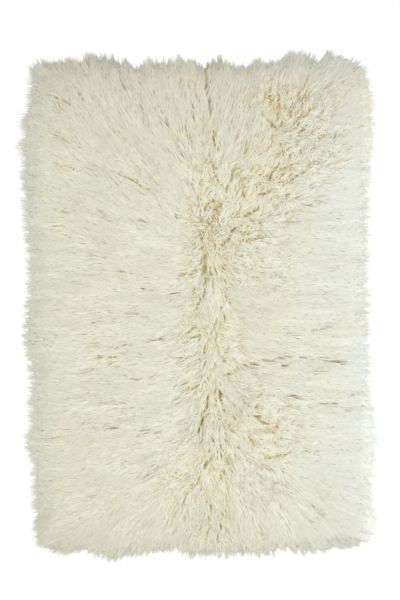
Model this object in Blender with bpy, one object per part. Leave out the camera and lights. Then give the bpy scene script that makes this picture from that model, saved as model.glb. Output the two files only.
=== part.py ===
"""A wool shag rug lying flat: long pile combed outwards from a spine down its middle.

The rug is one woven piece, so it is one solid: a lumpy slab of pile with locks at its rim.
Metres, +Z up, +Y along the rug, the origin at the middle of the ground cloth's underside.
"""

import math
import random

import bpy
from mathutils import Vector, noise

MM = 0.001

# The woven ground cloth, and the pile that is knotted through it.
GROUND_WIDTH = 1400 * MM
GROUND_LENGTH = 2000 * MM
PILE_DEPTH = 46 * MM
WOOL_COLOUR = (0.76, 0.73, 0.60, 1.0)
WOOL_ROUGHNESS = 0.95

# How finely the top of the slab is divided. Each step at the rim carries one lock.
STEPS_ACROSS = 46
STEPS_ALONG = 66

# The rim: the pile thins towards it over ROLL, down to RIM_SHARE of its depth.
ROLL = 130 * MM
RIM_SHARE = 0.40
CORNER_RADIUS = 50 * MM

# A lock at the rim: how far the slab's rim is inside the tips, the longest that a lock grows to
# reach them in a corner, how much its length varies, and its two rings before the tip.
RIM_INSET = 44 * MM
LONGEST_LOCK = 72 * MM
LOCK_LENGTH_SPREAD = 7 * MM
REACH_STEP = 2 * MM
LOCK_TURN = math.radians(7)
LOCK_FAN = 0.5
LOCK_RINGS = (
    # share of the length, share of the root's width, share of the root's height
    (0.42, 0.80, 0.78),
    (0.78, 0.50, 0.48),
)
LOCK_TIP_HEIGHT = 3 * MM

# Where the tips of the pile end, side by side: (station along the side, distance from the middle).
LEFT_TIPS = (
    (-1025, 680), (-940, 698), (-910, 692), (-663, 705), (-600, 730), (-535, 728), (-516, 706),
    (-470, 721), (-445, 709), (-395, 720), (-335, 704), (-184, 731), (-63, 736), (58, 720),
    (201, 722), (348, 736), (466, 746), (625, 743), (672, 759), (700, 752), (714, 735), (768, 750),
    (806, 742), (844, 720), (890, 727), (949, 712), (1020, 715),
)
RIGHT_TIPS = (
    (-1000, 742), (-974, 742), (-915, 760), (-819, 733), (-730, 733), (-697, 748), (-571, 752),
    (-420, 740), (-378, 721), (-222, 723), (-168, 715), (-126, 724), (-8, 711), (21, 718),
    (121, 711), (184, 719), (470, 717), (504, 727), (600, 729), (693, 744), (789, 741),
    (903, 736), (970, 716), (1015, 728),
)
HEAD_TIPS = (
    (-715, 1024), (-681, 1034), (-610, 1031), (-551, 1050), (-505, 1037), (-475, 1067),
    (-442, 1066), (-421, 1052), (-379, 1053), (-328, 1028), (-303, 1046), (-269, 1003),
    (-227, 1038), (-122, 1033), (-85, 1049), (-22, 1038), (15, 1018), (95, 1046), (137, 1021),
    (187, 1015), (213, 1020), (229, 1044), (288, 1030), (347, 1039), (385, 1070), (473, 1060),
    (498, 1042), (540, 1073), (612, 1060), (658, 1032), (728, 1018),
)
FOOT_TIPS = (
    (-680, 1027), (-626, 1035), (-605, 1049), (-484, 1038), (-450, 1058), (-353, 1068),
    (-299, 1048), (-219, 1050), (-131, 1027), (-89, 1035), (-68, 1054), (11, 1058), (32, 1046),
    (78, 1056), (196, 1047), (263, 1056), (297, 1040), (360, 1028), (448, 1042), (528, 1043),
    (561, 1019), (616, 1031), (665, 1006), (745, 972),
)

# The spine where the two halves of the pile part: a groove at the head, a ridge from the middle on.
SPINE = (
    # station along the rug, place across it, how far it stands up
    (-1030, 18, -3), (-880, 30, 3), (-650, 36, 6), (-400, 40, 8), (-200, 50, 9),
    (-60, 60, 9), (150, 34, 8), (380, 28, 5), (560, 45, 1), (700, 42, -9),
    (900, 28, -11), (1030, 22, -8),
)
SPINE_WIDTH = 48 * MM
FLANK_PLACE = 100 * MM
FLANK_SHARE = 0.55

# The way that the tips point, in degrees from +X towards +Y, at places across the rug.
COMB_PLACES = (-720, -400, -120, 40, 180, 400, 720)
COMB = (
    # station, left rim, left half, left of the spine, spine, right of it, right half, right rim
    (-1040, 225, 264, 268, 270, 272, 278, 315),
    (-950, 202, 236, 258, 268, 280, 298, 338),
    (-800, 190, 206, 232, 266, 296, 322, 350),
    (-550, 182, 190, 214, 268, 320, 354, 358),
    (-300, 180, 186, 212, 270, 335, 360, 360),
    (-50, 180, 183, 200, 268, 325, 358, 360),
    (200, 180, 172, 178, 268, 318, 354, 360),
    (450, 178, 152, 144, 92, 52, 12, 0),
    (700, 178, 138, 120, 95, 70, 30, 2),
    (900, 164, 118, 104, 92, 84, 62, 14),
    (1040, 126, 101, 95, 90, 85, 77, 45),
)

# Where the pile is ruffled into curly clumps instead of lying combed.
RUFFLED = (
    # place across, station along, half width, half length, strength
    (266, 594, 200, 320, 1.0),
    (30, 384, 90, 340, 0.9),
    (56, -140, 70, 380, 0.5),
    (236, -520, 200, 180, 0.8),
    (-16, -690, 120, 180, 0.7),
)

# Lumps: hand-sized clumps, drawn out along the comb.
LUMP_SIZE = 95 * MM
LUMP_STRETCH = 30 * MM
LUMP_HEIGHT = 17 * MM
RUFFLE_SIZE = 70 * MM
RUFFLE_HEIGHT = 15 * MM

SEED = 7


def along_table(rows, station, column=1):
    """The value of one column at a station, in metres, by straight lines between the rows."""
    at = station / MM
    if at <= rows[0][0]:
        return rows[0][column] * MM
    for low, high in zip(rows, rows[1:]):
        if at <= high[0]:
            share = (at - low[0]) / (high[0] - low[0])
            return (low[column] + share * (high[column] - low[column])) * MM
    return rows[-1][column] * MM


def pointing(degrees):
    """A unit vector in the plane of the rug."""
    return Vector((math.cos(math.radians(degrees)), math.sin(math.radians(degrees)), 0))


def comb_in_row(row, x):
    """The comb's direction in one row of COMB, at a place across the rug."""
    at = min(max(x / MM, COMB_PLACES[0]), COMB_PLACES[-1])
    for column, (left, right) in enumerate(zip(COMB_PLACES, COMB_PLACES[1:]), start=1):
        if at <= right:
            share = (at - left) / (right - left)
            return pointing(row[column]).lerp(pointing(row[column + 1]), share)
    return pointing(row[-1])


def comb(x, y):
    """The way that the tips point at a place on the rug."""
    at = min(max(y / MM, COMB[0][0]), COMB[-1][0])
    for low, high in zip(COMB, COMB[1:]):
        if at <= high[0]:
            share = (at - low[0]) / (high[0] - low[0])
            return comb_in_row(low, x).lerp(comb_in_row(high, x), share).normalized()
    return comb_in_row(COMB[-1], x).normalized()


def ruffle(x, y):
    """How ruffled the pile is at a place, from 0 to 1."""
    strongest = 0.0
    for across, station, half_width, half_length, strength in RUFFLED:
        away = ((x / MM - across) / half_width) ** 2 + ((y / MM - station) / half_length) ** 2
        strongest = max(strongest, strength * math.exp(-away * away))
    return strongest


def spine_rise(x, y):
    """The spine's ridge or groove, and the shallow dips on its two flanks."""
    away = abs(x - along_table(SPINE, y))
    rise = along_table(SPINE, y, column=2)
    middle = math.exp(-((away / SPINE_WIDTH) ** 2))
    flank = math.exp(-(((away - FLANK_PLACE) / SPINE_WIDTH) ** 2))
    return rise * middle - FLANK_SHARE * abs(rise) * flank


def lump(x, y):
    """The clumps of the pile: noise averaged along the comb, and finer noise where it is ruffled."""
    here, way = Vector((x, y, 0)), comb(x, y)
    steps = (-2, -1, 0, 1, 2)
    samples = [noise.noise((here + way * LUMP_STRETCH * k) / LUMP_SIZE) for k in steps]
    combed = LUMP_HEIGHT * sum(samples) / len(steps)
    ruffled = RUFFLE_HEIGHT * ruffle(x, y) * noise.noise(here / RUFFLE_SIZE + Vector((0, 0, 4)))
    return combed + ruffled


def rim_share(distance):
    """The share of the pile's depth at a distance in from the slab's rim."""
    inward = min(max(distance / ROLL, 0), 1)
    return RIM_SHARE + (1 - RIM_SHARE) * math.sqrt(1 - (1 - inward) ** 2)


def rounded(offset, reach):
    """Moves a place in a square corner, given from the corner's centre, into a round one."""
    a, b = offset[0] / reach, offset[1] / reach
    return reach * a * math.sqrt(1 - b * b / 2), reach * b * math.sqrt(1 - a * a / 2)


def place_on_slab(across, along):
    """Where a grid point lies on the rug, and how far it is in from the slab's rim.

    across and along run from 0 to 1, from the left to the right and from the foot to the head.
    """
    x_plain = (across - 0.5) * GROUND_WIDTH
    y_plain = (along - 0.5) * GROUND_LENGTH
    left = RIM_INSET - along_table(LEFT_TIPS, y_plain)
    right = along_table(RIGHT_TIPS, y_plain) - RIM_INSET
    foot = RIM_INSET - along_table(FOOT_TIPS, x_plain)
    head = along_table(HEAD_TIPS, x_plain) - RIM_INSET
    x = left + across * (right - left)
    y = foot + along * (head - foot)
    inset_x, inset_y = min(x - left, right - x), min(y - foot, head - y)
    if inset_x < CORNER_RADIUS and inset_y < CORNER_RADIUS:
        offset = (CORNER_RADIUS - inset_x, CORNER_RADIUS - inset_y)
        moved = rounded(offset, CORNER_RADIUS)
        x += math.copysign(moved[0] - offset[0], x)
        y += math.copysign(moved[1] - offset[1], y)
        inset = CORNER_RADIUS - math.hypot(*moved)
    else:
        inset = min(inset_x, inset_y)
    return x, y, inset


def slab():
    """The slab's places and faces, and the upright faces round it, which are not among its faces.

    It has a lumpy top on a flat underside, and the upright faces go round it from the foot's left.
    """
    places, faces = [], []
    for j in range(STEPS_ALONG + 1):
        for i in range(STEPS_ACROSS + 1):
            x, y, inset = place_on_slab(i / STEPS_ACROSS, j / STEPS_ALONG)
            height = rim_share(inset) * (PILE_DEPTH + lump(x, y) + spine_rise(x, y))
            places.append(Vector((x, y, height)))
    row = STEPS_ACROSS + 1
    for j in range(STEPS_ALONG):
        for i in range(STEPS_ACROSS):
            corner = j * row + i
            faces.append((corner, corner + 1, corner + row + 1, corner + row))

    head_right = len(places) - 1
    brink = [*range(STEPS_ACROSS), *range(STEPS_ACROSS, head_right, row),
             *range(head_right, head_right - STEPS_ACROSS, -1),
             *range(head_right - STEPS_ACROSS, 0, -row)]
    foot = [len(places) + k for k in range(len(brink))]
    places += [Vector((places[k].x, places[k].y, 0)) for k in brink]
    faces.append(tuple(reversed(foot)))
    uprights = []
    for k, corner in enumerate(brink):
        after = (k + 1) % len(brink)
        uprights.append((foot[k], foot[after], brink[after], corner))
    return places, faces, uprights


def inside_tips(place):
    """Whether a place is within the outline of the tips."""
    x, y = place.x, place.y
    between_sides = -along_table(LEFT_TIPS, y) < x < along_table(RIGHT_TIPS, y)
    return between_sides and -along_table(FOOT_TIPS, x) < y < along_table(HEAD_TIPS, x)


def reach_to_tips(root, way):
    """How far it is from a root to the outline of the tips."""
    reach = 0.0
    while reach < LONGEST_LOCK and inside_tips(root + way * reach):
        reach += REACH_STEP
    return reach


def lock_ring(root, centre, width_share, height_share):
    """The places of one ring of a lock: the root's outline, narrower and lower, about a centre."""
    middle = sum(root, Vector()) / len(root)
    ring = []
    for corner in root:
        sideways = (corner - middle) * width_share
        ring.append(Vector((centre.x + sideways.x, centre.y + sideways.y, corner.z * height_share)))
    return ring


def grow_lock(places, faces, upright, chance):
    """Draws one upright face out into a lock of four sides that lies on the floor."""
    root = [places[k] for k in upright]
    middle = sum(root, Vector()) / len(root)
    along = root[1] - root[0]
    outward = Vector((along.y, -along.x, 0)).normalized()
    way = outward.lerp(comb(middle.x, middle.y), LOCK_FAN).normalized()
    turn = chance.uniform(-LOCK_TURN, LOCK_TURN)
    way = Vector((way.x * math.cos(turn) - way.y * math.sin(turn),
                  way.x * math.sin(turn) + way.y * math.cos(turn), 0))
    length = reach_to_tips(middle, way) + chance.uniform(-LOCK_LENGTH_SPREAD, LOCK_LENGTH_SPREAD)
    below = upright
    for length_share, width_share, height_share in LOCK_RINGS:
        above = [len(places) + k for k in range(len(root))]
        places += lock_ring(root, middle + way * length * length_share, width_share, height_share)
        for k, after in zip(range(len(root)), (1, 2, 3, 0)):
            faces.append((below[k], below[after], above[after], above[k]))
        below = above
    tip = len(places)
    places.append(Vector((middle.x + way.x * length, middle.y + way.y * length, LOCK_TIP_HEIGHT)))
    for k, after in zip(range(len(root)), (1, 2, 3, 0)):
        faces.append((below[k], below[after], tip))


def wool():
    """Undyed wool."""
    material = bpy.data.materials.new("wool")
    material.use_nodes = True
    shader = material.node_tree.nodes["Principled BSDF"]
    shader.inputs["Base Color"].default_value = WOOL_COLOUR
    shader.inputs["Roughness"].default_value = WOOL_ROUGHNESS
    shader.inputs["Metallic"].default_value = 0.0
    return material


def rug():
    """The whole rug as one object."""
    chance = random.Random(SEED)
    places, faces, uprights = slab()
    for upright in uprights:
        grow_lock(places, faces, upright, chance)
    mesh = bpy.data.meshes.new("shag_rug")
    mesh.from_pydata(places, [], faces)
    mesh.shade_smooth()
    mesh.materials.append(wool())
    return bpy.data.objects.new("shag_rug", mesh)


def main():
    for old in list(bpy.data.objects):
        bpy.data.objects.remove(old)
    collection = bpy.data.collections.new("Shag rug")
    bpy.context.scene.collection.children.link(collection)
    collection.objects.link(rug())


main()
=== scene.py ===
"""A wool shag rug as it looks: a woven ground cloth, the long pile knotted through it, and a pale floor.

The pile is drawn lock by lock. A lock is a closed, tapering strand with three sides. It is rooted in
the ground cloth, rises under the locks before it, and comes to lie along the comb, as straw lies on
a thatched roof. Locks gather into tufts, and where the pile is ruffled, tufts gather into clumps.
Metres, and millimetres in the tables of places. +Z up, +Y towards the head of the rug, the origin in
the middle of the cloth's underside. Places on the rug are complex numbers: real across the rug,
imaginary along it.
"""

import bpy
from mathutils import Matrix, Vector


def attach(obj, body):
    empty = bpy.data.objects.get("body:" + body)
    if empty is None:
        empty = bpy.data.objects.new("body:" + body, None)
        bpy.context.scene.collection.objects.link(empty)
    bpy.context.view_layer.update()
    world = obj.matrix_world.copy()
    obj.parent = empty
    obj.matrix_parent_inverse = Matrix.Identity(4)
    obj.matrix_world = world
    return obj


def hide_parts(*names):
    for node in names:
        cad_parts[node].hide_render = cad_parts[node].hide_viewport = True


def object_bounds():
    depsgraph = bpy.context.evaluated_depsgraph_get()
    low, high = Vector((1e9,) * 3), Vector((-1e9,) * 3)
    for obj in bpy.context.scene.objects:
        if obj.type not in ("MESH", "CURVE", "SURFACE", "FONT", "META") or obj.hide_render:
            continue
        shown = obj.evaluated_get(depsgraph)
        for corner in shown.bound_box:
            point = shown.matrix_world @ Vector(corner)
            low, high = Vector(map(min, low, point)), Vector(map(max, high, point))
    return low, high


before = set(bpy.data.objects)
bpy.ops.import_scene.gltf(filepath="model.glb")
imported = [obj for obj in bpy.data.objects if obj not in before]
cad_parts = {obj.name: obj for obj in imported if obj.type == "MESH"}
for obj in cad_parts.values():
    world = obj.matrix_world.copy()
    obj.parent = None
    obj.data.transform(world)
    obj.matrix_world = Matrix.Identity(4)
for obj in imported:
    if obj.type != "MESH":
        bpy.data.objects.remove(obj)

import copy
import math
from functools import cache

import bpy
import numpy as np
from mathutils import Vector, kdtree
from mathutils.bvhtree import BVHTree

CAD_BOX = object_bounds()

bl_info = {
    "name": "Shag Rug",
    "version": (1, 0, 0),
    "blender": (4, 5, 0),
    "location": "View3D > Sidebar > Shag Rug",
    "description": "Weaves a long-pile wool rug and lays it on a pale floor",
    "category": "Object",
}

MM = 0.001

# The photograph's frame: its height in metres on the floor, and where its middle is on the rug.
PICTURE_HEIGHT = 2.52
PICTURE_MIDDLE = (5 * MM, 27 * MM)
SENSOR = 36 * MM

# Where the tips of the pile end, side by side: (station along the side, distance from the middle).
LEFT_TIPS = (
    (-1025, 680), (-940, 698), (-910, 692), (-663, 705), (-600, 730), (-535, 728), (-516, 706),
    (-470, 721), (-445, 709), (-395, 720), (-335, 704), (-184, 731), (-63, 736), (58, 720),
    (201, 722), (348, 736), (466, 746), (625, 743), (672, 759), (700, 752), (714, 735), (768, 750),
    (806, 742), (844, 720), (890, 727), (949, 712), (1020, 715),
)
RIGHT_TIPS = (
    (-1000, 742), (-974, 742), (-915, 760), (-819, 733), (-730, 733), (-697, 748), (-571, 752),
    (-420, 740), (-378, 721), (-222, 723), (-168, 715), (-126, 724), (-8, 711), (21, 718),
    (121, 711), (184, 719), (470, 717), (504, 727), (600, 729), (693, 744), (789, 741),
    (903, 736), (970, 716), (1015, 728),
)
HEAD_TIPS = (
    (-715, 1024), (-681, 1034), (-610, 1031), (-551, 1050), (-505, 1037), (-475, 1067),
    (-442, 1066), (-421, 1052), (-379, 1053), (-328, 1028), (-303, 1046), (-269, 1003),
    (-227, 1038), (-122, 1033), (-85, 1049), (-22, 1038), (15, 1018), (95, 1046), (137, 1021),
    (187, 1015), (213, 1020), (229, 1044), (288, 1030), (347, 1039), (385, 1070), (473, 1060),
    (498, 1042), (540, 1073), (612, 1060), (658, 1032), (728, 1018),
)
FOOT_TIPS = (
    (-680, 1027), (-626, 1035), (-605, 1049), (-484, 1038), (-450, 1058), (-353, 1068),
    (-299, 1048), (-219, 1050), (-131, 1027), (-89, 1035), (-68, 1054), (11, 1058), (32, 1046),
    (78, 1056), (196, 1047), (263, 1056), (297, 1040), (360, 1028), (448, 1042), (528, 1043),
    (561, 1019), (616, 1031), (665, 1006), (745, 972),
)
TIP_CORNER_RADIUS = 25 * MM
CLOTH_CORNER_RADIUS = 45 * MM
OVERHANG = 40 * MM  # how far the tips hang over the edge of the ground cloth
END_BLEND = 40 * MM  # the band in a corner where the pile of a long side turns into an end's

# The way that the tips point, in degrees from +X towards +Y, at places across the rug.
COMB_PLACES = (-720, -400, -150, -45, -5, 22, 84, 110, 160, 300, 450, 720)
COMB = (
    # station, left rim, left half (2), left flank (2), spine (2), right flank (2), right half (2), rim
    (-1040, 225, 255, 262, 265, 267, 269, 272, 273, 275, 282, 290, 315),
    (-950, 202, 232, 250, 258, 262, 267, 273, 275, 280, 290, 306, 338),
    (-800, 190, 204, 222, 236, 248, 264, 277, 284, 296, 312, 328, 350),
    (-550, 182, 188, 194, 208, 232, 268, 274, 310, 330, 344, 354, 358),
    (-300, 180, 184, 186, 196, 218, 268, 272, 318, 340, 354, 360, 360),
    (-50, 180, 182, 184, 194, 218, 268, 272, 318, 342, 356, 360, 360),
    (200, 180, 174, 176, 188, 212, 262, 278, 320, 342, 352, 358, 360),
    (450, 178, 152, 146, 134, 118, 100, 80, 70, 54, 32, 10, 0),
    (700, 178, 138, 124, 114, 106, 98, 88, 84, 78, 55, 26, 2),
    (900, 164, 118, 106, 100, 97, 94, 90, 88, 86, 76, 58, 14),
    (1040, 126, 101, 96, 94, 92, 91, 90, 88, 87, 82, 75, 45),
)

# Where the pile is ruffled into curly clumps, and, with a strength below 0, where it lies sleek.
RUFFLED = (
    # place across, station along, half width, half length, strength
    (375, 815, 170, 110, 0.95),
    (420, 650, 175, 160, 0.9),
    (250, 490, 190, 120, 0.95),
    (190, 320, 160, 130, 0.8),
    (270, 150, 110, 90, 0.5),
    (40, 384, 90, 260, 0.8),
    (245, -560, 150, 230, 0.7),
    (50, -140, 105, 400, 0.5),
    (0, -690, 125, 180, 0.55),
    (60, -920, 110, 90, 0.35),
    (750, -100, 380, 900, -0.40),
    (-700, 0, 250, 500, -0.25),
)

# Where the pile parts and shows the felted wool under it: the longest and darkest lines.
PARTINGS = (
    # middle across, middle along, degrees from +X, length, half width
    # The head, left of its middle and at it.
    (38, 885, 99, 130, 5.5), (32, 968, 90, 100, 6), (56, 785, 98, 100, 4), (-20, 890, 120, 105, 4),
    (-55, 750, 125, 85, 3), (-25, 795, 100, 90, 4), (60, 700, 110, 90, 5), (140, 780, 80, 60, 3),
    (-35, 705, 110, 60, 3), (-225, 905, 135, 60, 3), (-310, 905, 125, 75, 4), (-325, 950, 110, 80, 3),
    (-470, 990, 80, 60, 5), (-550, 855, 110, 40, 3), (-355, 665, 175, 50, 3),
    # The ruffled clumps right of it.
    (335, 855, 95, 40, 4), (370, 815, 125, 45, 4), (320, 805, 105, 50, 3), (305, 760, 140, 50, 4),
    (195, 655, 80, 50, 4), (345, 655, 100, 40, 4), (415, 665, 105, 45, 4), (310, 560, 60, 80, 4),
    (410, 545, 30, 50, 4), (65, 560, 110, 80, 4), (-10, 575, 145, 60, 3), (130, 525, 70, 90, 4),
    (185, 485, 100, 50, 4), (275, 475, 15, 40, 4), (340, 395, 140, 90, 4), (215, 370, 115, 45, 4),
    (255, 320, 90, 60, 4), (125, 290, 55, 80, 5), (260, 165, 170, 70, 3),
    # Both flanks of the spine, from the head down.
    (40, 425, 50, 45, 4), (20, 355, 150, 45, 4), (15, 255, 100, 110, 3), (-35, 195, 90, 50, 3),
    (25, 130, 85, 80, 4), (105, 180, 85, 50, 5), (105, 100, 20, 35, 4), (10, 30, 65, 80, 4),
    (-25, 35, 80, 70, 4), (-110, 30, 35, 50, 4), (125, 25, 120, 45, 4), (100, -30, 105, 50, 4),
    (-35, -100, 55, 50, 4), (-20, -125, 10, 35, 4), (-55, -190, 45, 60, 3), (25, -205, 90, 80, 4),
    (110, -200, 75, 50, 4), (10, -320, 35, 80, 3), (95, -395, 105, 85, 5), (-110, -420, 60, 100, 4),
    (20, -450, 75, 150, 5), (55, -575, 70, 60, 4), (40, -645, 55, 40, 6), (110, -685, 55, 120, 4),
    (45, -885, 85, 120, 4), (85, -940, 80, 70, 4), (-105, -940, 70, 50, 3),
    # The left half, from the head down.
    (-560, 585, 165, 75, 5), (-425, 580, 165, 50, 4), (-340, 550, 150, 40, 4), (-260, 515, 150, 105, 5),
    (-190, 525, 130, 75, 4), (-590, 400, 165, 70, 4), (-395, 370, 135, 60, 4), (-245, 360, 155, 55, 5),
    (-80, 385, 30, 40, 4), (-565, 335, 170, 50, 5), (-560, 295, 150, 40, 4), (-145, 280, 135, 45, 4),
    (-355, 150, 170, 120, 4), (-230, 75, 165, 55, 4), (-410, -65, 180, 90, 4), (-185, -140, 15, 60, 4),
    (-340, -170, 10, 80, 5), (-380, -210, 5, 100, 5), (-490, -480, 150, 75, 5), (-375, -505, 170, 75, 5),
    (-315, -485, 100, 60, 4), (-240, -525, 45, 65, 4), (-210, -520, 170, 75, 5), (-195, -685, 50, 45, 6),
    # The right half, from the head down.
    (500, -95, 10, 70, 4), (145, -270, 25, 45, 5), (225, -250, 10, 40, 5), (265, -230, 10, 190, 5.5),
    (370, -245, 170, 55, 4), (490, -220, -5, 230, 4.5), (580, -235, 0, 90, 4), (510, -270, -10, 60, 4),
    (260, -335, 80, 55, 4), (400, -380, 170, 45, 4.5), (535, -405, 175, 75, 5), (600, -430, 5, 65, 5),
    (160, -450, 50, 35, 6), (245, -440, 95, 45, 6), (260, -475, 150, 50, 5), (325, -495, 65, 60, 4),
    (440, -495, -10, 70, 4), (585, -500, 5, 85, 4), (160, -600, 75, 45, 4), (440, -605, 5, 130, 4),
    (320, -625, 10, 80, 4),
)

# Smaller partings besides, in groups of a few side by side, which run with the comb.
SMALL_PARTINGS = (
    # left, right, foot, head, number of groups, shortest, longest, half width of the widest
    (-640, 640, -940, 700, 24, 50, 120, 2.6),
    (-640, 640, 680, 980, 34, 50, 110, 3.0),
    (-110, 140, -960, 620, 30, 30, 80, 3.6),
    (120, 460, 280, 900, 12, 25, 70, 3.8),
    (-660, -140, -960, 600, 22, 50, 120, 2.6),
)
GROUP_SIZE = 3  # how many partings are in a group
GROUP_SPREAD = np.array((30, 14))  # how far they lie from its middle, along the comb and across it
GROUP_TURN = 7  # how far they turn off the comb, in degrees
NARROWEST_PARTING = 1.6  # the half width of the narrowest
PARTING_SEED = 5

# What a parting is like. Each pair is what holds in combed pile, and in ruffled pile.
PARTING_SHARE = (1.1, 1.35)  # how far the locks part, as a share of its half width
# Its locks are painted darker there, as shade in its crease.
PARTING_SHADE = (9.0, 7.0)  # how dark it is
# They are painted tan there too: partly the deep wool's own tan, partly painted shade.
PARTING_TAN = (0.65, 0.9)  # how tan it is
PARTING_FLANK = 1.4  # how far its flanks reach, as a share of how far the locks part
PARTING_END = 2  # how far they reach past its ends, as a share of that
PARTING_DEPTH = 0.36  # how much lower the locks lie in a wide one, as a share of the pile
BED_DEPTH = 0.7  # how much lower the felted wool is in it, as a share of the same
WIDE_PARTING = 5 * MM  # the half width of a wide one
PARTING_BEND = 3 * MM  # how far it bends to and fro
PARTING_WAVE = 11 * MM  # how far it runs while its bend turns by one radian

# How unruly the pile is. Each pair is what holds where it lies combed, and where it is ruffled.
TUFT_STRETCH = (0.36, 0.9)  # a tuft's width, as a share of its length along the comb
TUFT_TURN = (0.07, 0.36)  # how far a tuft turns off the comb, in radians
CLUMP_TURN = (0.0, 0.55)  # how far a clump of tufts turns off it
SWIRL_TURN = (0.16, 0.30)  # how far the whole pile swirls off it
TUFT_CURL = (0.12, 0.80)  # how far a tuft turns from its roots to its tips
LOCK_TURN = (0.04, 0.16)  # how far a lock turns off its tuft
TUFT_WAVE = (0.20, 0.25)  # how far a tuft waves to and fro
LOCK_WAVE = (0.04, 0.40)  # how far a lock waves besides
TUFT_GATHER = (0.10, 0.32)  # how far the locks of a tuft draw together at their tips
CLUMP_GATHER = (0.0, 0.06)  # how far the tufts of a clump do
REACH_SHARE = (1.0, 0.58)  # how far the locks reach along the rug, as a share of a combed one
STREAK_SHADE = (0.35, 0.20)  # how much lighter and darker the pile is in streaks along the comb
STREAK_LAYER = (0.005, 0.01)  # how much higher and lower it is in them, as a share of the pile
TUFT_LAYER = (0.010, 0.06)  # how unevenly high the tufts lie
LOCK_LAYER = (0.014, 0.045)  # how unevenly high the locks of a tuft lie
LEAN = (0.05, 0.31)  # how far a lock leans to one side, in radians
FLATNESS = (0.13, 0.38)  # how thick a lock is, as a share of its width
WIDTH_SHARE = (1.0, 0.74)  # how wide the locks are, as a share of a combed one
CLUMP_LIFT = (0.0, 0.10)  # how unevenly high the clumps stand
TIP_LIFT = (0.7 * MM, 4 * MM)  # how far the tips bend up or down
TAN_FROM = (0.10, 0.12)  # the share of a lock's length where tan begins to turn to cream
TAN_TO = (0.46, 0.60)  # the share where it is all cream
TAN_DEPTH = (0.36, 0.94)  # how tan the roots are
BED_SHARE = (0.88, 0.60)  # how high the felted wool under the locks stands, as a share of the pile

# At the rim. Each pair is what holds along the long sides, and what holds at the ends.
LOCK_INSET = (18 * MM, 7 * MM)  # how far inside the outline of the tips a lock ends, at the least
LOCK_SLACK = (46 * MM, 38 * MM)  # how much farther inside it may end
WISP_INSET = (-22 * MM, -18 * MM)  # the same for the fine wisps
WISP_SLACK = (50 * MM, 36 * MM)
RIM_SPREAD = (2 * MM, 11 * MM)  # how far a whole tuft ends inside or outside it
RIM_POINT = (1 * MM, 4 * MM)  # how far a tuft's side ends before its middle
RIM_GATHER = (-0.10, 0.18)  # how much farther the locks of a tuft draw together there
RIM_BAND = 60 * MM  # how far in from the edge of the ground cloth this begins
RIM_RUFFLE = (0.0, 1.0)  # how unevenly high the locks lie there, as a share of ruffled pile
# At the ends the rim's locks are painted darker, as shade between their tufts.
RIM_SHADE = (0.0, 3.0)  # how much darker the darkest of them are

# Where the comb parts and the pile stands upright.
UPRIGHT_REACH = 0.5  # how far locks reach there, as a share
UPRIGHT_TURN = 1.6  # how far they turn off the comb

# The unevenness that locks near each other share.
SWIRL_SIZE = 70 * MM  # how far apart the swirls of the whole pile are
GRAIN_SIZE = 6 * MM  # how wide its streaks are
GRAIN_SEED = 3
STREAK_REACH = 70 * MM  # how far a streak runs along the comb, either way
STREAK_STEPS = 8  # in how many places the grain is read on that way
NEARBY_TUFTS = 8  # how many tufts a lock may choose from
TUFT_SIDE = 0.4  # how far a tuft's side is from its middle, as a share of the distance between tufts
FAR_ASIDE = 1.5  # how far off its tuft's middle a lock still ends sooner, in those half widths

# What all the locks have in common.
REACH_SPREAD = (0.82, 1.15)  # how far the shortest and the longest reach, as a share
SHORTEST_REACH = 0.2  # the least that a lock keeps of its reach each time that it is shortened
SHORTENINGS = 3  # how many times a lock that passes the outline is shortened
LEAST_RUN = 1 * MM  # the least way outwards that its new length is worked out from
WIDTH_SPREAD = (0.75, 1.2)  # how wide the thinnest and the thickest are, as a share
ROOT_HEIGHT = 0.7  # how high they are rooted, as a share of the ground cloth's thickness
OVER_CLOTH = 0.9  # the least height of their middles over the cloth, as a share of the same
OVER_FLOOR = 2.2 * MM  # the least height of their middles past its edge
LOWEST = 0.3 * MM  # the least height of their sides
LAYER = 0.92  # how high they lie, as a share of the pile
LAYER_LIMITS = (0.6, 1.12)  # the least and the most of that
RISE_POWER = 8  # how soon they rise from their roots
LIFT_POWER = 3  # how late their tips bend up or down
WAVES = 1.4  # how often they wave from root to tip
TWIST = 1.2  # how far they twist on the way, in radians
LOCK_SHADE = 0.2  # how much lighter and darker than the others a lock is
# How unequally that painted shade at the rim falls on whole tufts and on their locks.
TUFT_DARK = 0.3  # how unequally dark whole tufts are at the rim
LOCK_DARK = 0.4  # how unequally dark their locks are besides
SHADE_LIMITS = (-2, 1)  # the darkest and the lightest, outside partings

# A lock's rings: shares of its length, and of its thickest place. A curly lock has two rings more.
COMBED_RINGS = ((0.0, 0.60), (0.28, 1.0), (0.80, 0.85))
CURLY_RINGS = ((0.0, 0.60), (0.25, 0.90), (0.45, 1.0), (0.66, 0.90), (0.86, 0.58))
FINE_RINGS = ((0.0, 0.70), (0.50, 1.0), (0.86, 0.62))
SIDES = 3
TINY = 1e-9  # the least length that is divided by

# The sorts of locks. Where the pile is ruffled they are curly, with short ones in their gaps, and
# elsewhere they are combed. Fine wisps are rooted among them in a band at the rim.
CURLY_FROM = 0.40  # how ruffled the pile is where curly locks begin
FILL_FROM = 0.18  # how ruffled it is where short ones do
FILL_REACH = 0.7  # how far the short ones reach, as a share
FILL_TURN = (1.0, 1.0)  # how far they turn off their tufts, along the long sides and at the ends
FILL_CREAM = 0.8  # how far they turn from tan to cream
WISP_BAND = 26 * MM  # how far in from the edge of the ground cloth the wisps stand
WISP_WIDTH = 0.21  # how wide a wisp is, as a share
WISP_TURN = (0.12, 0.03)  # how far wisps turn off their tufts

# How far inside the edge of the ground cloth the outermost are rooted. The bed reaches past it.
LOCK_MARGIN = 4 * MM
FILL_MARGIN = 12 * MM
WISP_MARGIN = 2 * MM
BED_MARGIN = -18 * MM

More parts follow.
